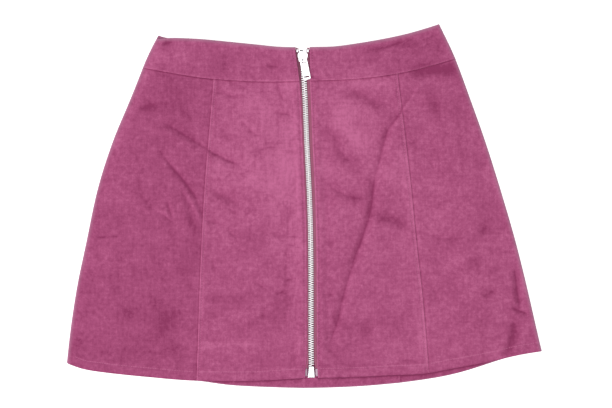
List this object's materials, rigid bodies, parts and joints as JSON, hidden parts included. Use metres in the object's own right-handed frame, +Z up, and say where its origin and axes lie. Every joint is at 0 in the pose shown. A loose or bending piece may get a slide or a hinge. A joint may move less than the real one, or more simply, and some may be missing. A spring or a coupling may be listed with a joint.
{
  "type": "suede-faced mini skirt laid flat",
  "caption": "A-line mini skirt of short-napped cloth laid flat, with panel seams, a shaped waistband and an exposed metal zip down the front whose pull tab lifts.",
  "frame": {"origin": "centre of the laid skirt's bounding box, on the surface it lies on", "axes": "+X across the hem to the right as seen from above with the front up, +Y towards the waist, +Z up from the surface"},
  "size_m": [0.5694, 0.4362, 0.0102],
  "materials": {
    "suede": "short brushed nap, matt with a soft sheen",
    "suede_band": "short brushed nap, matt with a soft sheen",
    "tape": "fine woven tape, matt",
    "film": "thin greyish film, semi-gloss",
    "nickel": "bright nickel-plated metal"
  },
  "bodies": {
    "skirt": {"back_centre_left": "suede", "back_centre_right": "suede", "back_side_left": "suede", "back_side_right": "suede", "front_centre_left": "suede", "front_centre_right": "suede", "front_side_left": "suede", "front_side_right": "suede", "waistband_back": "suede_band", "waistband_front_left": "suede_band", "waistband_front_right": "suede_band", "zip_tape_left": "tape", "zip_tape_right": "tape", "zip_film_left": "film", "zip_film_right": "film", "zip_chain": "nickel", "zip_slider": "nickel", "zip_top_stop_left": "nickel", "zip_top_stop_right": "nickel", "zip_box": "nickel"},
    "pull": {"zip_pull": "nickel"}
  },
  "joints": [
    {"name": "pull_hinge", "type": "hinge", "parent": "skirt", "child": "pull", "pos_m": [-0.00125, 0.1759, 0.0082], "axis": [-0.9816, -0.1908, 0], "range_deg": [0, 140]}
  ]
}
